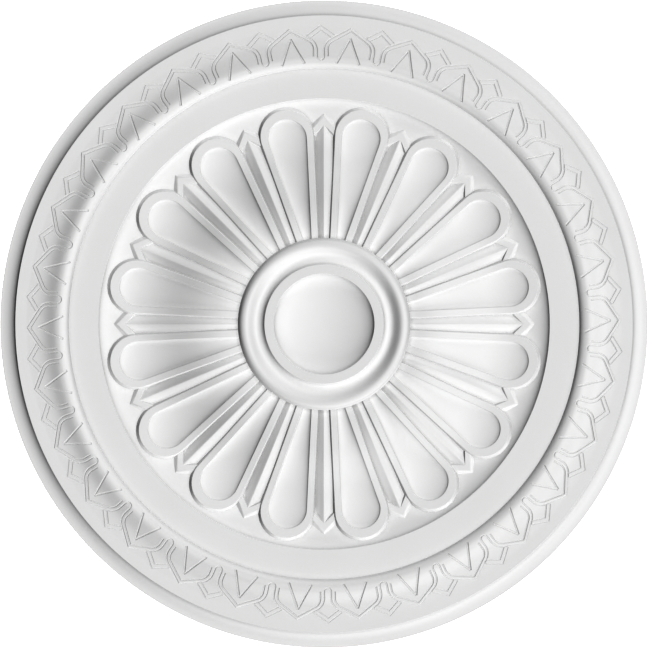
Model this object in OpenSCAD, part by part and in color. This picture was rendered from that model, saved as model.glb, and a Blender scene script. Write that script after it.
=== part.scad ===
// Ceiling rose: a round cast ornament that is glued flat to a ceiling.
// It hangs face down: the flat back is at Z = 0 and the face looks along -Z.
// The modules build it face up, in millimetres above its back, and it is turned over last.

/* [Overall] */
// Diameter over the rim
rose_d = 860; // [760:5:1060]
// Thickness at the outer edge
edge_t = 12; // [6:0.5:25]
// Direction of the first petal, from +X
setting_angle = 11.25; // [0:0.25:22.5]

/* [Rim] */
// Width of the hollow moulding round the rim
rim_w = 20.5; // [12:0.5:30]
// Height that the hollow moulding climbs
rim_h = 10; // [4:0.5:16]
// Width of the flat fillet inside it
fillet_w = 14; // [6:0.5:24]

/* [Leaf band] */
// Width of the band's long outer slope
band_out_w = 44; // [34:0.5:60]
// Height of the band's crest above the fillet
band_h = 10; // [6:0.5:16]
// Width of the band's round inner side
band_in_w = 13; // [8:0.5:20]
// Drop from the crest to the flat ring
band_drop = 7; // [5:0.5:10]
// Number of leaves round the band
leaf_count = 30; // [24:1:36]
// Height of a leaf above the band
leaf_h = 1.4; // [0.6:0.1:2.5]
// Distance from the band's outer edge to a leaf's tip
leaf_tip_gap = 1; // [0.5:0.5:6]
// Distance from the crest out to a leaf's shoulder
leaf_shoulder = 22; // [16:0.5:28]
// Radius that rounds the shoulder
leaf_shoulder_r = 17; // [6:0.5:20]
// Width of the slot between two leaves
slot_w = 9.3; // [5:0.1:12]
// Distance from the crest out to the centre of the slot's round end
slot_end = 3; // [1:0.5:6]
// How far the tips of the leaves behind pass the band's outer edge
back_leaf_over = 0.8; // [0:0.1:3]
// Half width of a leaf behind
back_leaf_w = 19; // [12:0.5:22]
// Fall of a leaf behind from its tip to its widest place
back_leaf_fall = 14; // [8:0.5:20]

/* [Flat ring] */
// Width of the flat ring between the leaf band and the dish
flat_w = 39.5; // [24:0.5:60]

/* [Dish] */
// Width of the hollow edge of the dish
cove_w = 34.5; // [20:0.5:45]
// Depth of the dish below the flat ring
dish_d = 11; // [6:0.5:14]

/* [Petals] */
// Number of petals
petal_count = 16; // [12:1:20]
// Distance from the flat ring to a petal's tip
petal_tip_gap = 7; // [3:0.5:20]
// Angle left open between two petals
petal_gap = 5.44; // [3:0.1:7]
// Height of a petal's tip above the floor of the dish
petal_h = 8; // [5.5:0.5:12]
// How far a petal dips behind its tip
petal_curl = 1.5; // [0:0.1:2.5]
// Height that a petal climbs towards the boss
petal_rise = 24.5; // [14:0.5:32]
// Distance from a petal's tip to where it starts to climb
petal_level = 45; // [30:1:60]
// How far a petal falls again before it meets the boss
petal_dip = 1.5; // [0:0.1:2.5]
// Distance from the boss to a petal's highest place
petal_crest = 21; // [10:1:30]
// Width of the flat border along a petal's sides
border_w = 11.1; // [6:0.1:14]
// Width of that border at the tip
border_tip_w = 15.7; // [8:0.1:20]
// Depth of the hollow in a petal
flute_d = 5; // [2:0.1:6]
// Depth of the hollow where it meets the boss
flute_root_d = 3.2; // [1:0.1:4]
// Length of the hollow's curved outer end
flute_end = 27; // [12:0.5:32]

/* [Darts between the petals] */
// Distance from the flat ring to a dart's point
dart_tip_gap = 17.5; // [10:0.5:40]
// Height of a dart's border above the floor of the dish
dart_h = 3; // [2:0.1:4]
// Length of the flat point, from its tip to the start of the ridge
dart_point = 17; // [8:0.5:24]
// How far a dart's ridge lies below the petals where both are highest
dart_below = 1; // [0.4:0.1:3]
// Fall of a dart's sides, as a share of the distance from its ridge
dart_slope = 0.42; // [0.2:0.01:0.6]

/* [Boss] */
// Diameter of the boss where it meets the petals
boss_d = 228; // [190:1:270]
// Height of the boss's round outer moulding above the petals
boss_h = 9.5; // [5:0.5:14]
// Width of the outer side of that moulding
boss_out_w = 9.5; // [5:0.5:14]
// Width from the moulding's crest in to the groove
groove_w = 16.5; // [10:0.5:20]
// Depth of the groove below the moulding's crest
groove_d = 8; // [4:0.5:10]
// Width of the hollow side that climbs from the groove to the ring
ring_side_w = 9; // [5:0.5:12]
// How far the flat ring round the cup lies below the crest
ring_below = 0.5; // [0:0.1:3]
// Width of the flat ring round the cup
ring_w = 12.5; // [6:0.5:18]
// Depth of the cup in the middle
cup_d = 16.5; // [8:0.5:18]

/* [Hidden] */
$fn = 180;

// Steps in one rounded stretch of a profile or an outline
ARC = 6;
// Steps along the slopes of the band, the petals and the darts
SLOPE = 8;
// Height inside the casting at which its applied shapes begin
ROOT = 4;
// Height above every shape, for the sides of outlines
ABOVE = 90;
// How far an applied shape runs on inside its neighbour
LAP = 4;
// How much wider a petal's hollow is turned than its outline is cut
TURNED = 1.15;
CAST = [0.93, 0.93, 0.91];

// Radii, from the rim inwards
rose_r = rose_d / 2;
fillet_r = rose_r - rim_w;
band_r = fillet_r - fillet_w;
crest_r = band_r - band_out_w;
foot_r = crest_r - band_in_w;
dish_r = foot_r - flat_w;
floor_r = dish_r - cove_w;
tip_r = dish_r - petal_tip_gap;
level_r = tip_r - petal_level;
dart_r = dish_r - dart_tip_gap;
ridge_r = dart_r - dart_point;
boss_r = boss_d / 2;
high_r = boss_r + petal_crest;
boss_crest_r = boss_r - boss_out_w;
groove_r = boss_crest_r - groove_w;
ring_r = groove_r - ring_side_w;
cup_r = ring_r - ring_w;
// Inside this radius the floor is covered by petals and darts
covered_r = min(floor_r, ridge_r) - LAP;

// Heights above the back
fillet_z = edge_t + rim_h;
crest_z = fillet_z + band_h;
flat_z = crest_z - band_drop;
dish_z = flat_z - dish_d;
petal_z = dish_z + petal_h - petal_curl;
high_z = petal_z + petal_rise;
boss_z = high_z - petal_dip;
boss_crest_z = boss_z + boss_h;
groove_z = boss_crest_z - groove_d;
ring_z = boss_crest_z - ring_below;
dart_z = dish_z + dart_h;

// Angles from the middle of a leaf or petal to the middle of the gap beside it
leaf_half = 180 / leaf_count;
petal_half = 180 / petal_count;
// Angle from the middle of a petal to its straight side
petal_side = petal_half - petal_gap / 2;
// Round ends of a petal and of its hollow: distance out, and radius
petal_end = tip_r / (1 + sin(petal_side));
petal_end_r = petal_end * sin(petal_side);
flute_tip_r = tip_r - border_tip_w;
flute_end_x = (flute_tip_r + border_w) / (1 + sin(petal_side));
flute_end_r = flute_end_x * sin(petal_side) - border_w;
flute_start = border_w / sin(petal_side);
flute_bend_r = flute_tip_r - flute_end;

function unit(v) = v / norm(v);
function turned(v, a) = [v[0] * cos(a) - v[1] * sin(a), v[0] * sin(a) + v[1] * cos(a)];
function mirrored(points) = [for (i = [len(points) - 1:-1:0]) [points[i][0], -points[i][1]]];

// 0 to 1 along an S that is level at both ends
function s_curve(u) = (1 - cos(180 * min(1, max(0, u)))) / 2;

// Points from a to b on a quarter of an ellipse that leaves a level
function level_start(a, b) =
    [for (i = [1:ARC]) let (t = 90 * i / ARC)
        [a[0] + (b[0] - a[0]) * sin(t), a[1] + (b[1] - a[1]) * (1 - cos(t))]];

// Points from a to b on a quarter of an ellipse that leaves a upright
function upright_start(a, b) =
    [for (i = [1:ARC]) let (t = 90 * i / ARC)
        [a[0] + (b[0] - a[0]) * (1 - cos(t)), a[1] + (b[1] - a[1]) * sin(t)]];

// Points that round the corner c between p and q with radius r
function rounded(p, c, q, r) =
    let (
        to_p = unit(p - c),
        to_q = unit(q - c),
        half = acos(to_p * to_q) / 2,
        centre = c + unit(to_p + to_q) * r / sin(half),
        first = c + to_p * r / tan(half) - centre,
        way = to_p[0] * to_q[1] - to_p[1] * to_q[0] > 0 ? -1 : 1
    )
    [for (i = [0:ARC / 2]) centre + turned(first, way * (180 - 2 * half) * i / (ARC / 2))];

// Height of the ground of the leaf band at a radius on its outer slope
function band_z(r) =
    let (u = (band_r - r) / band_out_w)
    fillet_z + band_h * (0.27 * u + 0.73 * s_curve(u * u));

// Height of a petal's border at a radius
function petal_top(r) =
    r > level_r ? petal_z + petal_curl * pow((r - level_r) / petal_level, 2)
    : r > high_r ? petal_z + petal_rise * s_curve((level_r - r) / (level_r - high_r))
    : high_z - petal_dip * s_curve((high_r - r) / petal_crest);

// Height of a dart's ridge at a radius
function ridge_z(r) =
    dart_z + (high_z - dart_below - dart_z) * s_curve((ridge_r - r) / (ridge_r - high_r))
    - petal_dip * s_curve((high_r - r) / petal_crest);

// Depth of a petal's hollow below its border at a radius
function flute_depth(r) =
    r > flute_bend_r ? flute_d * sqrt(max(0, 1 - pow((r - flute_bend_r) / (flute_end + 1), 2)))
    : flute_root_d + (flute_d - flute_root_d) * s_curve((r - boss_r) / (2 * petal_crest));

// Radius of a round hollow of a given half width and depth
function hollow_r(half_w, depth) = TURNED * (half_w * half_w + depth * depth) / (2 * depth);

// Back, rim, ground of the band, flat ring, dish and boss, turned in one
module body() {
    outline = concat(
        [[0, 0], [rose_r, 0], [rose_r, edge_t]],
        level_start([rose_r, edge_t], [fillet_r, fillet_z]),
        [for (i = [0:SLOPE]) let (r = band_r - band_out_w * i / SLOPE) [r, band_z(r)]],
        [[crest_r - slot_w / 2, crest_z], [crest_r - slot_w / 2, flat_z], [dish_r, flat_z]],
        upright_start([dish_r, flat_z], [floor_r, dish_z]),
        [[covered_r, dish_z], [covered_r, ROOT + 2], [boss_r, ROOT + 2], [boss_r, boss_z]],
        upright_start([boss_r, boss_z], [boss_crest_r, boss_crest_z]),
        [for (i = [1:ARC])
            [boss_crest_r - groove_w * i / ARC, boss_crest_z - groove_d * s_curve(i / ARC)]],
        level_start([groove_r, groove_z], [ring_r, ring_z]),
        [[cup_r, ring_z]],
        upright_start([cup_r, ring_z], [0, ring_z - cup_d])
    );
    rotate_extrude() polygon(outline);
}

// A ring that follows the leaf band at a height above its ground
module band_ring(lift) {
    outline = concat(
        [[foot_r, ROOT], [band_r + LAP, ROOT], [band_r + LAP, fillet_z + lift]],
        [for (i = [0:SLOPE]) let (r = band_r - band_out_w * i / SLOPE) [r, band_z(r) + lift]],
        level_start([crest_r, crest_z + lift], [foot_r, flat_z])
    );
    rotate_extrude() polygon(outline);
}

// One side of a leaf, from its shoulder to the end of the slot beside it
function leaf_side() =
    let (
        along = [cos(leaf_half), sin(leaf_half)],
        across = [sin(leaf_half), -cos(leaf_half)],
        tip = [band_r - leaf_tip_gap, 0],
        half = slot_w / 2,
        end = along * (crest_r + slot_end),
        shoulder = along * (crest_r + leaf_shoulder) + across * half
    )
    concat(
        rounded(tip, shoulder, end + across * half, leaf_shoulder_r),
        [for (i = [0:ARC / 3]) let (t = 270 * i / ARC) end + (across * cos(t) - along * sin(t)) * half]
    );

// The row of leaves that meet at the foot of the band, as one outline
module leaf_row() {
    side = leaf_side();
    other = mirrored(side);
    one = concat([for (i = [1:len(other) - 1]) other[i]], [[band_r - leaf_tip_gap, 0]], side);
    linear_extrude(ABOVE)
        polygon([for (k = [1:leaf_count]) for (p = one) turned(p, 2 * leaf_half * k)]);
}

// The leaves that show behind, in the gaps of the front row
module back_leaves() {
    top = band_r + back_leaf_over;
    for (k = [1:leaf_count])
        rotate(2 * leaf_half * (k + 0.5))
            linear_extrude(ABOVE)
                polygon([
                    [crest_r - 1, -back_leaf_w], [top - back_leaf_fall, -back_leaf_w],
                    [top, 0], [top - back_leaf_fall, back_leaf_w], [crest_r - 1, back_leaf_w]
                ]);
}

module leaf_band() {
    intersection() {
        band_ring(leaf_h);
        leaf_row();
    }
    intersection() {
        band_ring(leaf_h / 2);
        back_leaves();
    }
}

// Outline of a petal or its hollow: straight sides from a point to a round end
module petal_outline(start, end, r, root) {
    width = (root - start) * tan(petal_side);
    linear_extrude(ABOVE)
        polygon(concat(
            [[root, -width]],
            [for (i = [0:3 * ARC]) let (t = (90 + petal_side) * (i / (1.5 * ARC) - 1))
                [end + r * cos(t), r * sin(t)]],
            [[root, width]]
        ));
}

// The hollow of one petal: turned about a leaning axis, then cut to its outline
module flute() {
    root_r = hollow_r((boss_r - flute_start) * tan(petal_side), flute_root_d);
    bend_r = hollow_r(flute_end_r, flute_d);
    root = [boss_r, petal_top(boss_r) - flute_root_d + root_r];
    bend = [flute_bend_r, petal_top(flute_bend_r) - flute_d + bend_r];
    along = unit(bend - root);
    floor_line = [for (i = [0:1.5 * SLOPE])
        let (r = boss_r - LAP + (flute_tip_r + 1 - boss_r + LAP) * i / (1.5 * SLOPE))
        [r, petal_top(r) - flute_depth(r)] - root];
    turned_line = [for (p = floor_line) [p[0] * along[1] - p[1] * along[0], p * along]];
    intersection() {
        petal_outline(flute_start, flute_end_x, flute_end_r, boss_r - LAP);
        translate([root[0], 0, root[1]])
            rotate([0, 90 - atan2(along[1], along[0]), 0])
                rotate_extrude()
                    polygon(concat(
                        [[0, turned_line[0][1]]],
                        turned_line,
                        [[0, turned_line[1.5 * SLOPE][1]]]
                    ));
    }
}

module petals() {
    reach = tip_r + LAP;
    top = concat(
        [[boss_r - 2 * LAP, ROOT], [reach, ROOT]],
        [for (i = [0:1.5 * SLOPE]) let (r = reach - (reach - boss_r + LAP) * i / (1.5 * SLOPE))
            [r, petal_top(r)]],
        [[boss_r - 2 * LAP, boss_z]]
    );
    difference() {
        intersection() {
            rotate_extrude() polygon(top);
            for (k = [1:petal_count])
                rotate(2 * petal_half * k)
                    petal_outline(0, petal_end, petal_end_r, boss_r - 3 * LAP);
        }
        for (k = [1:petal_count]) rotate(2 * petal_half * k) flute();
    }
}

// A dart's ridge and falling sides, over the length between its point and the boss
module dart_ridge() {
    lean = sin(petal_gap / 2 + 1.6);
    from = boss_r - LAP;
    to = ridge_r + 1.5;
    points = [for (i = [0:SLOPE])
        let (r = from + (to - from) * i / SLOPE, w = r * lean, z = ridge_z(r) - 0.1)
        each [[r, -w, ROOT], [r, -w, z - w * dart_slope], [r, 0, z], [r, w, z - w * dart_slope],
            [r, w, ROOT]]];
    faces = concat(
        [[4, 3, 2, 1, 0], [for (j = [0:4]) 5 * SLOPE + j]],
        [for (i = [0:SLOPE - 1]) for (j = [0:4])
            [5 * i + j, 5 * i + (j + 1) % 5, 5 * i + 5 + (j + 1) % 5, 5 * i + 5 + j]]
    );
    polyhedron(points, faces);
}

// A dart's flat point: a border that turns the corner at its tip
module dart_border() {
    w = dart_r * tan(petal_half) * 0.4;
    linear_extrude(dart_z)
        polygon([
            [dart_r, 0], [dart_r - w, w], [ridge_r - w, w],
            [ridge_r, 0], [ridge_r - w, -w], [dart_r - w, -w]
        ]);
}

module darts() {
    for (k = [1:petal_count])
        rotate(2 * petal_half * (k + 0.5)) {
            dart_ridge();
            dart_border();
        }
}

module ceiling_rose() {
    color(CAST)
        mirror([0, 0, 1])
            rotate(setting_angle) {
                body();
                leaf_band();
                petals();
                darts();
            }
}

ceiling_rose();
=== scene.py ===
# %% [markdown]
# # A ceiling rose, cast in one piece
# A ceiling rose is a round ornament that is glued to a ceiling, often round a lamp's hook. This one
# is a single white casting: a rim with a hollow moulding, a sloping band of pointed leaves, a flat
# ring, and a dish that holds sixteen fluted petals and a boss with a cup. We model it as a caster
# thinks of it: a body that is turned on a wheel, and ornament that is pressed on to it.

# %% Load the frame
from math import copysign, cos, hypot, pi, radians, sin, sqrt, tan, tau

import bmesh
import bpy
from mathutils import Matrix, Vector
from mathutils.geometry import intersect_line_line


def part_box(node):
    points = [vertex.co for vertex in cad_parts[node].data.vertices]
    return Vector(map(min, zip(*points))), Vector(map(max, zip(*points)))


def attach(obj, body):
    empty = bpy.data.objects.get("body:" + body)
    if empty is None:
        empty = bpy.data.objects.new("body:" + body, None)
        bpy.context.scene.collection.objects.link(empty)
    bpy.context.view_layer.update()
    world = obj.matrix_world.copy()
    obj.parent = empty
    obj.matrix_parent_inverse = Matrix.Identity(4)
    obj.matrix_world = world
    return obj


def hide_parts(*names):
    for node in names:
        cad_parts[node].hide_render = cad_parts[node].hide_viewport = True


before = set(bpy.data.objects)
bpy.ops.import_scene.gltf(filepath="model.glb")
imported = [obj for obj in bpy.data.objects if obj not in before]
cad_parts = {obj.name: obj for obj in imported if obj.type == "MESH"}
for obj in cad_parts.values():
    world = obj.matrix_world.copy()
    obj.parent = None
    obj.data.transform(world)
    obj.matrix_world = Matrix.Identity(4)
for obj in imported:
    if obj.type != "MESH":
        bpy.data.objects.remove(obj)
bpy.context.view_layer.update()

low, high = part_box("ceiling_rose")
scene = bpy.context.scene
print("the casting is", round(2 * high.x, 3), "m across and", round(-low.z, 3), "m deep")

# %% [markdown]
# ## One set of sizes
# The casting hangs face down with its back at Z = 0. It is easier to think of it lying on its back,
# so every height below is measured up from the back, in millimetres, and the finished mesh is turned
# over at the end. The radii run in from the rim to the dish's floor, and then in from the boss to the
# cup, each worked out from the one before it.

# %% Radii
MM = 0.001

rim_w = 20.5
fillet_w = 14
band_w = 44
crest_w = 13
flat_w = 39.5
cove_w = 34.5

rose_r = high.x / MM
fillet_r = rose_r - rim_w
band_r = fillet_r - fillet_w
crest_r = band_r - band_w
foot_r = crest_r - crest_w
dish_r = foot_r - flat_w
floor_r = dish_r - cove_w

roll_w = 9.5
groove_w = 16.5
groove_rise_w = 9
ring_w = 12.5

boss_r = 114
boss_crest_r = boss_r - roll_w
groove_r = boss_crest_r - groove_w
ring_r = groove_r - groove_rise_w
cup_r = ring_r - ring_w
print("radii from the rim to the cup:",
      [round(r, 1) for r in (rose_r, band_r, crest_r, dish_r, boss_r, cup_r)])

# %% Heights above the back
rim_h = 10
band_h = 10
band_drop = 7
dish_d = 11
roll_h = 9.5
groove_d = 8
ring_below = 0.5
cup_d = 16.5

edge_z = 12
fillet_z = edge_z + rim_h
crest_z = fillet_z + band_h
flat_z = crest_z - band_drop
dish_z = flat_z - dish_d
boss_crest_z = -low.z / MM
boss_z = boss_crest_z - roll_h
groove_z = boss_crest_z - groove_d
ring_z = boss_crest_z - ring_below
cup_z = ring_z - cup_d
sunk_z = 4
print("heights of the edge, the crest, the dish and the boss:",
      edge_z, crest_z, dish_z, round(boss_crest_z, 1))

# %% [markdown]
# ## Curves that a moulding is made of
# Mouldings are quarter rounds, hollows and S shapes. A quarter of an ellipse that leaves a level
# surface makes a hollow or a roll, and half a cosine wave makes an S that is level at both ends.
# The band of leaves climbs on a mixture: part of its rise is a straight ramp, and the rest an S that
# starts late, so the band is steepest well past its middle and eases off again at the crest.

# %% Curve helpers
CURVE_STEPS = 14
RAMP_SHARE = 0.27


def s_curve(u):
    """0 to 1 along an S that is level at both ends."""
    return (1 - cos(pi * min(1, max(0, u)))) / 2


def level_start(a, b, steps=CURVE_STEPS):
    """Points from a to b on a quarter ellipse that leaves a level."""
    turns = [pi / 2 * i / steps for i in range(1, steps + 1)]
    return [(a[0] + (b[0] - a[0]) * sin(t), a[1] + (b[1] - a[1]) * (1 - cos(t))) for t in turns]


def upright_start(a, b, steps=CURVE_STEPS):
    """Points from a to b on a quarter ellipse that leaves a upright."""
    turns = [pi / 2 * i / steps for i in range(1, steps + 1)]
    return [(a[0] + (b[0] - a[0]) * (1 - cos(t)), a[1] + (b[1] - a[1]) * sin(t)) for t in turns]


def band_height(r):
    """Height of the ground of the leaf band, over its crest and down its round inner side."""
    if r > crest_r:
        u = (band_r - r) / (band_r - crest_r)
        climb = RAMP_SHARE * u + (1 - RAMP_SHARE) * s_curve(u * u)
        return fillet_z + (crest_z - fillet_z) * climb
    fall = min(1, (crest_r - r) / (crest_r - foot_r))
    return crest_z - (crest_z - flat_z) * (1 - sqrt(1 - fall * fall))


print("the band's ground half way up:", round(band_height((band_r + crest_r) / 2), 1), "mm")

# %% [markdown]
# ## From a mesh to one casting
# Each part of the ornament is made as a closed solid of its own, and a Boolean modifier then joins
# it to the body or cuts it away. The Manifold solver is quick and keeps a closed solid closed, as
# long as the solids that go into it are closed too.

# %% Make and close a mesh
ROUND_STEPS = 240
TOUCHING = 1e-7
SHARP_ANGLE = radians(30)


def closed(bm):
    """Join touching corners, fill what is still open and point every face outwards."""
    bmesh.ops.remove_doubles(bm, verts=bm.verts, dist=TOUCHING)
    bmesh.ops.dissolve_degenerate(bm, edges=bm.edges, dist=TOUCHING)
    bmesh.ops.holes_fill(bm, edges=[e for e in bm.edges if e.is_boundary], sides=0)
    bmesh.ops.recalc_face_normals(bm, faces=bm.faces)
    return bm


def spun(profile, rounding=0.0):
    """Spin a profile of (radius, height) pairs once round Z, with its sharp corners rounded first."""
    bm = bmesh.new()
    verts = [bm.verts.new((r * MM, 0, z * MM)) for r, z in profile]
    for a, b in zip(verts, verts[1:]):
        bm.edges.new((a, b))
    if rounding:
        sharp = [v for v in verts if len(v.link_edges) == 2 and v.calc_edge_angle() > SHARP_ANGLE]
        bmesh.ops.bevel(bm, geom=sharp, offset=rounding * MM, segments=2, profile=0.5,
                        affect="VERTICES", material=-1)
    bmesh.ops.spin(bm, geom=bm.verts[:] + bm.edges[:], axis=(0, 0, 1), cent=(0, 0, 0),
                   angle=tau, steps=ROUND_STEPS, use_merge=True)
    return closed(bm)


def sheet(columns, rows, place):
    """A grid whose corners go where place(column, row) says, closed into a solid."""
    bm = bmesh.new()
    bmesh.ops.create_grid(bm, x_segments=columns, y_segments=rows, size=0.5)
    for vert in bm.verts:
        column = round((vert.co.x + 0.5) * columns)
        row = round((vert.co.y + 0.5) * rows)
        vert.co = Vector(place(column, row)) * MM
    return closed(bm)


def repeated(bm, count, start=0.0):
    """Turn a solid to its first place and spin copies of it round the casting."""
    bmesh.ops.rotate(bm, verts=bm.verts, cent=(0, 0, 0), matrix=Matrix.Rotation(start, 3, "Z"))
    bmesh.ops.spin(bm, geom=bm.verts[:] + bm.edges[:] + bm.faces[:], axis=(0, 0, 1), cent=(0, 0, 0),
                   angle=tau * (count - 1) / count, steps=count - 1, use_duplicate=True)
    return bm


print("round solids are spun in", ROUND_STEPS, "steps")


# %% Turn meshes into objects and combine them
def solid(bm, name):
    """An object made of a bmesh."""
    mesh = bpy.data.meshes.new(name)
    bm.to_mesh(mesh)
    bm.free()
    made = bpy.data.objects.new(name, mesh)
    scene.collection.objects.link(made)
    return made


def combine(target, tool, operation):
    """Join (UNION), cut (DIFFERENCE) or keep what is common (INTERSECT), and drop the tool."""
    change = target.modifiers.new(operation.title(), "BOOLEAN")
    change.operation = operation
    change.solver = "MANIFOLD"
    change.object = tool
    evaluated = target.evaluated_get(bpy.context.evaluated_depsgraph_get())
    result = bpy.data.meshes.new_from_object(evaluated)
    target.modifiers.clear()
    target.data = result
    print(operation.lower(), tool.name, "->", len(result.polygons), "faces")
    bpy.data.objects.remove(tool)
    return target


# %% [markdown]
# ## The turned body
# The back, the rim's hollow, the fillet, the ground of the band, the flat ring, the dish and the boss
# are all round, so one profile is drawn from the middle of the back out to the rim and in again to
# the middle of the cup, and spun. Its sharp corners are rounded a little first: a cast arris is
# never a knife edge, and the small round catches a line of light.

# %% Spin the body
ARRIS_ROUND = 0.5
SLOPE_STEPS = 16
CUP_STEPS = 20
step_in = 4.6


def band_slope(lift):
    """Points up the band's outer slope at a height above its ground."""
    radii = [band_r - (band_r - crest_r) * i / SLOPE_STEPS for i in range(SLOPE_STEPS + 1)]
    return [(r, band_height(r) + lift) for r in radii]


def groove_side():
    """Points from the boss's crest down to the bottom of its groove."""
    shares = [i / SLOPE_STEPS for i in range(1, SLOPE_STEPS + 1)]
    return [(boss_crest_r + (groove_r - boss_crest_r) * u,
             boss_crest_z + (groove_z - boss_crest_z) * s_curve(u)) for u in shares]


band_inner = crest_r - step_in
body_profile = [
    (0, 0), (rose_r, 0), (rose_r, edge_z),
    *level_start((rose_r, edge_z), (fillet_r, fillet_z)),
    *band_slope(0),
    (band_inner, crest_z), (band_inner, flat_z), (dish_r, flat_z),
    *upright_start((dish_r, flat_z), (floor_r, dish_z)),
    (boss_r, dish_z), (boss_r, boss_z),
    *upright_start((boss_r, boss_z), (boss_crest_r, boss_crest_z)),
    *groove_side(),
    *level_start((groove_r, groove_z), (ring_r, ring_z)),
    (cup_r, ring_z),
    *upright_start((cup_r, ring_z), (0, cup_z), CUP_STEPS),
]
casting = solid(spun(body_profile, rounding=ARRIS_ROUND), "rose_casting")
print("the body has", len(casting.data.polygons), "faces")

# %% [markdown]
# ## Petals
# A petal is a wedge with a round end. Round its edge runs a flat border, wider at the tip, and
# inside the border is a hollow like the inside of a spoon. Its walls lean in, as they must to leave a
# mould, and lean most at the tip, where they stand on the cove. All petals rise together towards the
# boss, along one S curve, and dip just before they meet it.
#
# The mesh follows the petal's own shape. Columns of a grid run along the outline, from the boss
# round the tip and back, and rows run from the foot up the wall, over the border and down to the
# middle of the hollow. Every row is the outline drawn in by some distance, so one function places
# every corner.

# %% Petal sizes
petal_count = 16
petal_half = pi / petal_count
petal_side = radians(8.53)
tip_r = dish_r - 6.4
level_r = tip_r - 45
high_r = boss_r + 21
root_x = boss_r - 5

petal_z = dish_z + 6.5
petal_rise = 24.5
tip_curl = 1.5
boss_dip = 1.5
high_z = petal_z + petal_rise

border_w = 11.1
border_tip_w = 16.3
flute_d = 5.0
flute_root_d = 3.2
flute_deepens_over = 42
print("a petal's border climbs from", round(petal_z, 1), "to", round(high_z, 1), "mm above the back")


# %% Petal heights and outline
def petal_top(r):
    """Height of a petal's border."""
    if r > level_r:
        return petal_z + tip_curl * ((r - level_r) / (tip_r - level_r)) ** 2
    if r > high_r:
        return petal_z + (high_z - petal_z) * s_curve((level_r - r) / (level_r - high_r))
    return high_z - boss_dip * s_curve((high_r - r) / (high_r - boss_r))


def petal_end(side_in, tip_in):
    """Centre and radius of the round end of an outline drawn in from the petal's foot."""
    centre = (tip_r - tip_in + side_in) / (1 + sin(petal_side))
    return centre, centre * sin(petal_side) - side_in


end_share = 0.42


def petal_outline(u, side_in, tip_in):
    """A point of that outline: u runs from -1 at the boss, round the tip at 0, to 1."""
    centre, radius = petal_end(side_in, tip_in)
    turn = min(1, abs(u) / end_share) * (pi / 2 + petal_side)
    along = max(0, (abs(u) - end_share) / (1 - end_share))
    side = Vector((centre + radius * cos(turn), radius * sin(turn)))
    root = Vector((root_x, (root_x - side_in / sin(petal_side)) * tan(petal_side)))
    point = side.lerp(root, along)
    return Vector((point.x, copysign(point.y, u)))


def flute_depth(x):
    """Depth of the hollow along its middle."""
    return flute_root_d + (flute_d - flute_root_d) * s_curve((x - boss_r) / flute_deepens_over)


def cove_height(r):
    """Height of the dish's cove, and of its floor inside it."""
    across = min(1, max(0, (dish_r - r) / (dish_r - floor_r)))
    return flat_z - (flat_z - dish_z) * sqrt(1 - (1 - across) ** 2)


print("the cove is", round(cove_height(tip_r) - dish_z, 1), "mm high where a petal's tip stands on it")

# %% Build the petals
wall_h = 7.0
wall_in = 2.7
wall_tip_in = 4.0
edge_round = 0.45
foot_bury = 0.3
petal_columns = 56
flute_spreads = [1, 0.985, 0.95, 0.89, 0.8, 0.68, 0.53, 0.36, 0.18, 0]

# Each row: how far in at the sides and at the tip, spread from the middle line, drop below the
# border's height (None is the sunk base), and share of the hollow's depth
petal_rows = [
    (0, 0, 0, None, 0),
    (0, 0, 1, None, 0),
    (0, 0, 1, wall_h, 0),
    (wall_in - edge_round, wall_tip_in - edge_round, 1, 1.2, 0),
    (wall_in - 0.2 * edge_round, wall_tip_in - 0.2 * edge_round, 1, 0.4, 0),
    (wall_in + edge_round, wall_tip_in + edge_round, 1, 0.05, 0),
    (border_w - edge_round, border_tip_w - edge_round, 1, 0, 0),
    *[(border_w, border_tip_w, f, 0.15, sqrt(1 - f * f)) for f in flute_spreads],
]


def petal_place(column, row):
    """Where a corner of the petal's grid goes; its wall starts no deeper than just under the cove."""
    side_in, tip_in, spread, drop, hollow = petal_rows[row]
    u = 2 * column / petal_columns - 1
    point = petal_outline(u, side_in, tip_in)
    middle = Vector((min(point.x, petal_end(border_w, border_tip_w)[0]), 0))
    point = middle.lerp(point, spread)
    if drop is None:
        return point.x, point.y, sunk_z
    foot = cove_height(point.length) - foot_bury
    return point.x, point.y, max(foot, petal_top(point.length) - drop - hollow * flute_depth(middle.x))


petal = sheet(petal_columns, len(petal_rows) - 1, petal_place)
print("one petal has", len(petal.faces), "faces")
combine(casting, solid(repeated(petal, petal_count), "petals"), "UNION")

# %% [markdown]
# ## Darts
# Between two petals lies a dart: a long ridge with sides that fall to the petals' walls, and in front
# of it a flat border with a bevelled outer edge, which turns a right angle at its tip. The ridge is a
# grid with rows along it, and the border is a strip that is mitred at the point.

# %% Build the dart ridges
dart_r = dish_r - 17.5
dart_z = dish_z + 3
dart_slope = 0.42
ridge_r = dart_r - 17
ridge_start = boss_r - 4
ridge_length = ridge_r + 1.5 - boss_r + 4
ridge_half = radians(4.3)
ridge_round = 0.6
ridge_below = 0.1
ridge_columns = 26
ridge_across = [-1, -1, -0.6, -0.3, -0.12, -0.04, 0, 0.04, 0.12, 0.3, 0.6, 1, 1, -1]
ridge_base_rows = (0, len(ridge_across) - 2, len(ridge_across) - 1)


def ridge_height(r):
    """Height of a dart's ridge, which climbs and dips with the petals."""
    climb = s_curve((ridge_r - r) / (ridge_r - high_r))
    return dart_z + (high_z - 1 - dart_z) * climb - boss_dip * s_curve((high_r - r) / (high_r - boss_r))


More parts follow.
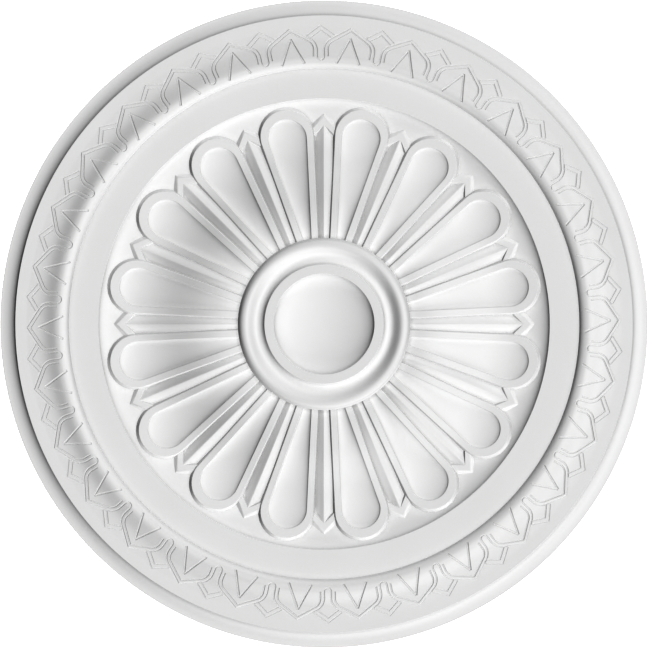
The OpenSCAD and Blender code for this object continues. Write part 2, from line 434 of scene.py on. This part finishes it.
def ridge_place(column, row):
    """Where a corner of the ridge's grid goes."""
    r = ridge_start + ridge_length * column / ridge_columns
    y = ridge_across[row] * r * sin(ridge_half)
    if row in ridge_base_rows:
        return r, y, sunk_z
    return r, y, ridge_height(r) - ridge_below - dart_slope * (hypot(y, ridge_round) - ridge_round)


ridge = sheet(ridge_columns, len(ridge_across) - 1, ridge_place)
combine(casting, solid(repeated(ridge, petal_count, petal_half), "dart_ridges"), "UNION")

# %% Build the dart borders
border_half_length = 0.4 * dart_r * tan(petal_half)

# Each row: distance in from the outer edge, and height
border_rows = [(0, sunk_z), (0, dart_z - 2.9), (0.3, dart_z - 2.7), (4.6, dart_z - 0.15), (5, dart_z),
               (11.6, dart_z), (12, dart_z - 0.15), (14, dart_z - 3), (14, sunk_z), (0, sunk_z)]


def border_place(column, row):
    """Where a corner of the border's strip goes: column 0 and 2 are its ends and 1 is its point."""
    inward, z = border_rows[row]
    y = (column - 1) * border_half_length
    return dart_r - inward * sqrt(2) - abs(y), y, z


border = sheet(2, len(border_rows) - 1, border_place)
combine(casting, solid(repeated(border, petal_count, petal_half), "dart_borders"), "UNION")

# %% [markdown]
# ## Leaves
# Thirty leaves stand round the band with their tips at its foot and narrow slots between them.
# Behind them the tips of a second row show. Both rows follow the band's slope, a little above its
# ground. We spin a ring at that height, cut it to the leaves' outline, and join it to the casting.

# %% Rounding, turning and mirroring an outline
def rounded(p, corner, q, radius, steps=8):
    """Points that round a corner between p and q."""
    to_p, to_q = (p - corner).normalized(), (q - corner).normalized()
    half = to_p.angle(to_q) / 2
    centre = corner + (to_p + to_q).normalized() * radius / sin(half)
    first = corner + to_p * radius / tan(half) - centre
    swing = copysign(pi - 2 * half, -to_p.cross(to_q))
    return [centre + Matrix.Rotation(swing * i / steps, 2) @ first for i in range(steps + 1)]


def mirrored(points):
    """The same points on the other side of the X axis, in reverse order."""
    return [Vector((p.x, -p.y)) for p in reversed(points)]


def turned(points, angle):
    """The same points turned round the casting's middle."""
    return [Matrix.Rotation(angle, 2) @ p for p in points]


# %% Leaf outlines
leaf_count = 30
leaf_half = pi / leaf_count
leaf_h = 1.4
leaf_tip_in = 1
shoulder_out = 22
shoulder_round = 17
slot_w = 9.3
slot_start = 3

slot_along = Vector((cos(leaf_half), sin(leaf_half)))
slot_across = Vector((sin(leaf_half), -cos(leaf_half)))


def leaf_side(slant_in=0.0, slot_in=0.0):
    """Tip, rounded shoulder and slot side of half a leaf, drawn in from its edge."""
    tip = Vector((band_r - leaf_tip_in, 0))
    shoulder = slot_along * (crest_r + shoulder_out) + slot_across * slot_w / 2
    slant = (shoulder - tip).normalized()
    tip = tip + Vector((-slant_in / abs(slant.y), 0))
    slot_line = slot_along * crest_r + slot_across * (slot_w / 2 + slot_in)
    met = intersect_line_line(tip.to_3d(), (tip + slant).to_3d(), slot_line.to_3d(),
                              (slot_line + slot_along).to_3d())[0].to_2d()
    end = slot_line + slot_along * slot_start
    return [tip, *rounded(tip, met, end, shoulder_round - slant_in), end]


def slot_end():
    """The round end of a slot, from the leaf's side to the slot's middle."""
    end = slot_along * (crest_r + slot_start)
    turns = (pi / 8, pi / 4, 3 * pi / 8, pi / 2)
    return [end + (slot_across * cos(t) - slot_along * sin(t)) * slot_w / 2 for t in turns]


half_leaf = leaf_side() + slot_end()
whole_leaf = mirrored(half_leaf)[1:-1] + half_leaf
leaf_ring = [p for k in range(leaf_count) for p in turned(whole_leaf, 2 * leaf_half * k)]
print("a leaf's outline has", len(whole_leaf), "points")

# %% Build the leaves
PRISM_HEIGHT = 0.09
behind = crest_r - 1
back_tip = Vector((band_r + 0.8, 0))
back_slant = Vector((-14, 19))
back_side = back_tip + back_slant


def prism(outline):
    """A plain upright block with this outline, higher than the whole casting."""
    bm = bmesh.new()
    face = bm.faces.new([bm.verts.new((p.x * MM, p.y * MM, 0)) for p in outline])
    grown = bmesh.ops.extrude_face_region(bm, geom=[face])["geom"]
    tops = [g for g in grown if isinstance(g, bmesh.types.BMVert)]
    bmesh.ops.translate(bm, verts=tops, vec=(0, 0, PRISM_HEIGHT))
    bmesh.ops.recalc_face_normals(bm, faces=bm.faces)
    return bm


def band_layer(lift, name):
    """A ring that follows the leaf band at a height above its ground."""
    outer = band_r + 4
    outline = [(foot_r, sunk_z), (outer, sunk_z), (outer, fillet_z + lift), *band_slope(lift),
               *level_start((crest_r, crest_z + lift), (foot_r, flat_z)), (foot_r, sunk_z)]
    return solid(spun(outline), name)


front_layer = band_layer(leaf_h, "front_leaves")
front = combine(front_layer, solid(prism(leaf_ring), "leaf_outline"), "INTERSECT")
back_outline = [Vector((behind, -back_slant.y)), Vector((back_side.x, -back_slant.y)), back_tip,
                back_side, Vector((behind, back_slant.y))]
back_prisms = repeated(prism(back_outline), leaf_count, leaf_half)
back_layer = band_layer(leaf_h / 2, "back_leaves")
back = combine(back_layer, solid(back_prisms, "back_outline"), "INTERSECT")
combine(casting, back, "UNION")
combine(casting, front, "UNION")

# %% [markdown]
# ## Cut lines
# The leaves are drawn with fine lines: one round each leaf's edge, one parallel inside it, an upturned
# V in the middle, and two along each leaf tip behind. A carver makes such a line with a veiner, a
# gouge with a round nose, so each is cut with a thin rod laid along the surface.

# %% Rods along the surface
LINE_STEP = 2.5


def dense(points):
    """The same path with a point every few millimetres."""
    path = []
    for a, b in zip(points, points[1:]):
        steps = max(1, round((b - a).length / LINE_STEP))
        path += [a.lerp(b, i / steps) for i in range(steps)]
    return path + [points[-1]]


def rods(paths, radius, lift, name, ring=False):
    """Thin rods along paths, at a height above the band's ground."""
    curve = bpy.data.curves.new(name, "CURVE")
    curve.dimensions = "3D"
    curve.bevel_depth = radius * MM
    curve.bevel_resolution = 2
    curve.use_fill_caps = True
    for path in paths:
        spline = curve.splines.new("POLY")
        spline.use_cyclic_u = ring
        spline.points.add(len(path) - 1)
        for point, p in zip(spline.points, path):
            point.co = (p.x * MM, p.y * MM, (band_height(p.length) + lift) * MM, 1)
    rod = bpy.data.objects.new(name + "_curve", curve)
    scene.collection.objects.link(rod)
    bm = bmesh.new()
    bm.from_mesh(bpy.data.meshes.new_from_object(rod))
    bpy.data.objects.remove(rod)
    return solid(closed(bm), name)


def each_leaf(path, start=0.0):
    """The path on every leaf, or with a start on every gap between leaves."""
    return [turned(path, start + 2 * leaf_half * k) for k in range(leaf_count)]


def both_sides(points):
    """A path from the tip, continued on its mirrored side."""
    return mirrored(points)[:-1] + points


# %% Paths of the lines
edge_path = dense(leaf_ring)
inner_path = dense(both_sides(leaf_side(4.2, 5.0)))
back_edge = dense(both_sides([back_tip, back_tip.lerp(back_side, 0.97)]))
back_inner_tip = back_tip - Vector((6.5, 0))
back_inner = dense(both_sides([back_inner_tip, back_inner_tip + (back_side - back_tip) * 0.74]))
stroke_top = Vector((379.7, 0))
stroke_end = Vector((345.4, 15.1))
right_stroke = dense([stroke_top, stroke_end])
left_stroke = dense([stroke_top, Vector((stroke_end.x, -stroke_end.y))])
print("the line round the leaves has", len(edge_path), "points")

# %% Cut the lines
# Each cut: its paths, the rod's radius, its height above the band's ground, its name, closed or not
line_cuts = [
    (each_leaf(back_edge, leaf_half), 1.1, 0.45, "back_edges", False),
    (each_leaf(back_inner, leaf_half), 0.95, 0.7, "back_inner_lines", False),
    ([edge_path], 1.4, leaf_h - 0.3, "leaf_edges", True),
    (each_leaf(inner_path), 1.2, leaf_h - 0.1, "leaf_inner_lines", False),
    (each_leaf(right_stroke), 1.6, leaf_h, "strokes", False),
    (each_leaf(left_stroke), 1.6, leaf_h, "strokes", False),
]
for cut in line_cuts:
    combine(casting, rods(*cut), "DIFFERENCE")

# %% [markdown]
# ## Turn it over
# The casting has been made face up. Mirroring it in its back turns it face down, and because a
# mirror turns every face inside out, the normals are worked out again. Faces that meet at less than
# thirty degrees are shaded as one smooth surface. A Weighted Normal modifier then lets the largest face
# at each corner decide, so a level face stays level right up to the small round at its edge.

# %% Finish the mesh
first_petal = radians(11.25)
SLIVER = 0.000004


def finish(piece):
    """Merge slivers, turn the casting to its place and face down, and shade it smooth."""
    bm = bmesh.new()
    bm.from_mesh(piece.data)
    bmesh.ops.remove_doubles(bm, verts=bm.verts, dist=SLIVER)
    bmesh.ops.dissolve_degenerate(bm, edges=bm.edges, dist=SLIVER)
    bmesh.ops.rotate(bm, verts=bm.verts, cent=(0, 0, 0), matrix=Matrix.Rotation(first_petal, 3, "Z"))
    bmesh.ops.scale(bm, verts=bm.verts, vec=(1, 1, -1))
    bmesh.ops.recalc_face_normals(bm, faces=bm.faces)
    open_edges = sum(1 for e in bm.edges if not e.is_manifold)
    bm.to_mesh(piece.data)
    bm.free()
    piece.data.shade_smooth()
    piece.data.set_sharp_from_angle(angle=SHARP_ANGLE)
    weighted = piece.modifiers.new("flats stay flat", "WEIGHTED_NORMAL")
    weighted.keep_sharp = True
    piece.data.calc_loop_triangles()
    print("the casting has", len(piece.data.loop_triangles), "triangles and", open_edges, "open edges")


finish(casting)

# %% [markdown]
# ## The finish
# The casting is sold primed: a thin, matt, slightly soft white coat over a very fine grain. The grain
# shows as a faint tooth in a low light. Over a hand's width the coat varies a little in tone and in
# sheen. Shade is painted into the colour as well: steep walls are painted grey, worked out from the
# way the surface faces, and the bottoms of cut lines and corners are painted darker, worked out from
# how closed in they are, with an Ambient Occlusion node. Both are painted shade, not the coat's own
# tone.
# The back is left raw, with the swirls and pinholes that the open side of a mould leaves.
#
# Every pattern reads Object coordinates, so it stays on the casting wherever that goes. The small class
# below lets us write the shader's sums with Python's own signs instead of a long list of nodes.

# %% Shader helpers
class Signal:
    """A socket that Python's operators can work with."""

    def __init__(self, tree, socket):
        self.tree = tree
        self.socket = socket

    def maths(self, operation, *values, clamp=False):
        settings = {"operation": operation, "use_clamp": clamp}
        return make(self.tree, "ShaderNodeMath", settings, dict(enumerate(values)))

    def __add__(self, other):
        return self.maths("ADD", self, other)

    def __radd__(self, other):
        return self.maths("ADD", other, self)

    def __sub__(self, other):
        return self.maths("SUBTRACT", self, other)

    def __rsub__(self, other):
        return self.maths("SUBTRACT", other, self)

    def __mul__(self, other):
        return self.maths("MULTIPLY", self, other)

    def __rmul__(self, other):
        return self.maths("MULTIPLY", other, self)

    def clamped(self):
        """Nothing below 0 and nothing above 1."""
        return self.maths("ADD", self, 0, clamp=True)

    def ramp(self, start, end):
        """0 at start and 1 at end, straight between them and level beyond them."""
        return ((self - start) * (1 / (end - start))).clamped()


def make(tree, kind, settings=None, inputs=None, output=0):
    """A node of a kind, with its settings, and values or links on its sockets."""
    node = tree.nodes.new(kind)
    for name, value in (settings or {}).items():
        setattr(node, name, value)
    for name, value in (inputs or {}).items():
        if isinstance(value, Signal):
            tree.links.new(value.socket, node.inputs[name])
        else:
            node.inputs[name].default_value = value
    return Signal(tree, node.outputs[output])


def noise(tree, where, scale, detail=2.0, stretch=(1, 1, 1)):
    """Soft noise, 0 to 1, with so many waves to a metre."""
    placed = make(tree, "ShaderNodeMapping", {}, {"Vector": where, "Scale": stretch})
    return make(tree, "ShaderNodeTexNoise", {}, {"Vector": placed, "Scale": scale, "Detail": detail})


def between(tree, factor, a, b):
    """A colour between two colours."""
    return make(tree, "ShaderNodeMix", {"data_type": "RGBA"}, {0: factor, 6: a, 7: b}, output=2)


# %% Colours and scales of the finish
PRIMER = (0.72, 0.72, 0.72, 1)
PRIMER_THIN = (0.70, 0.70, 0.698, 1)
# Painted shade: the grey that steep walls on the face are given.
PAINTED_STEEP_SHADE = (0.54, 0.54, 0.54, 1)
# Painted shade: the darker grey in cut lines and corners.
PAINTED_RECESS_SHADE = (0.32, 0.32, 0.32, 1)
RAW = (0.74, 0.73, 0.70, 1)
RAW_DARK = (0.63, 0.62, 0.59, 1)

TONE_WAVES = 9
SWIRL_WAVES = 14
GRAIN_WAVES = 420
TOOTH_WAVES = 1400
PIT_CELLS = 160
PIT_PATCH_WAVES = 30

# How far the occlusion looks for the painted shade in recesses.
PAINTED_SHADE_REACH = 0.006
RELIEF_DEPTH = 0.00012
GLOSS = 0.25
print("the tooth has", TOOTH_WAVES, "waves to a metre and the grain", GRAIN_WAVES)


# %% Primed casting
def casting_finish():
    """White primer with painted shade on sloping walls and in recesses, and a raw back."""
    material = bpy.data.materials.new("primed casting with painted shade")
    material.use_nodes = True
    tree = material.node_tree
    shader = tree.nodes["Principled BSDF"]
    where = make(tree, "ShaderNodeTexCoord", output=3)
    normal = make(tree, "ShaderNodeTexCoord", output=1)
    height = make(tree, "ShaderNodeSeparateXYZ", {}, {0: where}, output=2)
    facing = make(tree, "ShaderNodeSeparateXYZ", {}, {0: normal}, output=2)
    back = height.ramp(-0.64 * MM, -0.24 * MM)

    tone = noise(tree, where, TONE_WAVES, 3)
    tooth = noise(tree, where, TOOTH_WAVES, 2)
    grain = noise(tree, where, GRAIN_WAVES, 3)
    swirl = noise(tree, where, SWIRL_WAVES, 6, (1, 4, 1))
    pits = make(tree, "ShaderNodeTexVoronoi", {}, {"Vector": where, "Scale": PIT_CELLS})
    pit_patches = (noise(tree, where, PIT_PATCH_WAVES) * 3 - 1.3).clamped()
    pinholes = (1 - pits * 5.5).clamped() * pit_patches

    # Painted shade on steep walls, worked out from the way the surface faces, and kept below the rim's
    # edge.
    below_edge = height.ramp((0.2 - edge_z) * MM, (-0.3 - edge_z) * MM)
    painted_steep_shade = ((1 + facing) * 3.4 - 0.12).clamped() * below_edge
    # Painted shade in cut lines and corners, from how closed in the surface is.
    reach = {"Distance": PAINTED_SHADE_REACH}
    occlusion_for_painted_shade = make(tree, "ShaderNodeAmbientOcclusion", {"samples": 8}, reach, output=1)
    primed = between(tree, tone.ramp(0.25, 0.75), PRIMER_THIN, PRIMER)
    # Painted shade on steep walls, mixed over the primer's tone.
    primed = between(tree, painted_steep_shade, primed, PAINTED_STEEP_SHADE)
    # Painted shade in recesses, mixed over that.
    primed = between(tree, occlusion_for_painted_shade.ramp(0.92, 0.12), primed, PAINTED_RECESS_SHADE)
    raw = between(tree, (swirl * 1.4 - 0.2 - pinholes).clamped(), RAW_DARK, RAW)
    tree.links.new(between(tree, back, primed, raw).socket, shader.inputs["Base Color"])

    rough = 0.62 + tone * 0.1 + grain * 0.06 + back * 0.2
    tree.links.new(rough.socket, shader.inputs["Roughness"])
    shader.inputs["Specular IOR Level"].default_value = GLOSS

    relief = tooth * 0.35 + grain * 0.65 + back * (swirl * 9 - pinholes * 8)
    bump_inputs = {"Strength": 0.5, "Distance": RELIEF_DEPTH, "Height": relief}
    bump = make(tree, "ShaderNodeBump", {}, bump_inputs)
    tree.links.new(bump.socket, shader.inputs["Normal"])
    return material


casting.data.materials.clear()
casting.data.materials.append(casting_finish())
for polygon in casting.data.polygons:
    polygon.material_index = 0

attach(casting, "root")
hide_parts("ceiling_rose")
print("finish:", casting.data.materials[0].name)

# %% [markdown]
# ## Camera, floor and light
# The camera looks straight up through a long lens, so the rose shows almost without perspective, and
# the floor lies just below the camera. Relief this low is drawn by light, helped by the shade that is
# painted into the casting's colour. A key light comes up from one side at a steep angle and shades
# every slope. Two edge lights come in roughly across it, from a little above the plane of the back, so
# they catch only steep walls and leave the level faces to the key. The last lamp is for the back, and
# just touches the walls that the key leaves dark. No lamp throws a shadow, as a wide soft source would
# hardly do, and the floor sends no light back up.
# Only the key shows in the slight gloss, so the others don't wash out the back from low down.
#
# What lies beyond the floor is only there to be seen, so the world is bright for the camera and nearly
# dark for everything else. The view's gamma is set below 1, for the contrast of a printed catalogue.

# %% Camera
LENS = 400
HALF_FRAME = 18

camera_data = bpy.data.cameras.new("camera")
camera_data.lens = LENS
camera_data.clip_end = 200
camera = bpy.data.objects.new("camera", camera_data)
camera_below = (edge_z + rose_r * LENS / HALF_FRAME) * MM
camera.location = (0, 0, -camera_below)
camera.rotation_euler = (pi, 0, 0)
scene.collection.objects.link(camera)
scene.camera = camera
print("the camera is", round(camera_below, 2), "m below the ceiling")

# %% Floor
FLOOR_SIZE = 60
FLOOR_BELOW_CAMERA = 0.5

floor_mesh = bmesh.new()
bmesh.ops.create_grid(floor_mesh, x_segments=1, y_segments=1, size=FLOOR_SIZE)
floor = solid(floor_mesh, "floor")
floor.location = (0, 0, -camera_below - FLOOR_BELOW_CAMERA)
floor_finish = bpy.data.materials.new("pale floor")
floor_finish.use_nodes = True
floor_shader = floor_finish.node_tree.nodes["Principled BSDF"]
floor_shader.inputs["Base Color"].default_value = (0.8, 0.8, 0.8, 1)
floor_shader.inputs["Roughness"].default_value = 0.9
floor.data.materials.append(floor_finish)
floor.visible_diffuse = False
print("the floor is", round(camera_below + FLOOR_BELOW_CAMERA, 2), "m below the ceiling")


# %% Lamps
def lamp(name, rise, round_rose, strength):
    """A distant lamp: rise is its angle below the ceiling, round_rose its direction from +X."""
    data = bpy.data.lights.new(name, "SUN")
    data.energy = strength
    data.angle = radians(4)
    data.use_shadow = False
    towards = Vector((cos(rise) * cos(round_rose), cos(rise) * sin(round_rose), -sin(rise)))
    made = bpy.data.objects.new(name, data)
    made.rotation_euler = towards.to_track_quat("Z", "Y").to_euler()
    made.visible_glossy = rise > 0
    scene.collection.objects.link(made)


lamp("key", radians(60), radians(15), 4.0)
lamp("near_edge", radians(-14), radians(90), 3.3)
lamp("far_edge", radians(-14), radians(-91), 2.7)
lamp("back", radians(-72), pi, 2.1)

# %% World and print contrast
STUDIO_GLOW = 0.03
BACKDROP_GLOW = 2.4
PRINT_GAMMA = 0.6

world = bpy.data.worlds.new("studio")
world.use_nodes = True
scene.world = world
studio = world.node_tree
seen = make(studio, "ShaderNodeLightPath")
around = studio.nodes["Background"]
studio.links.new((STUDIO_GLOW + seen * BACKDROP_GLOW).socket, around.inputs["Strength"])
around.inputs["Color"].default_value = (1, 1, 1, 1)
scene.view_settings.view_transform = "Standard"
scene.view_settings.gamma = PRINT_GAMMA
print("the view's gamma is", round(scene.view_settings.gamma, 2))
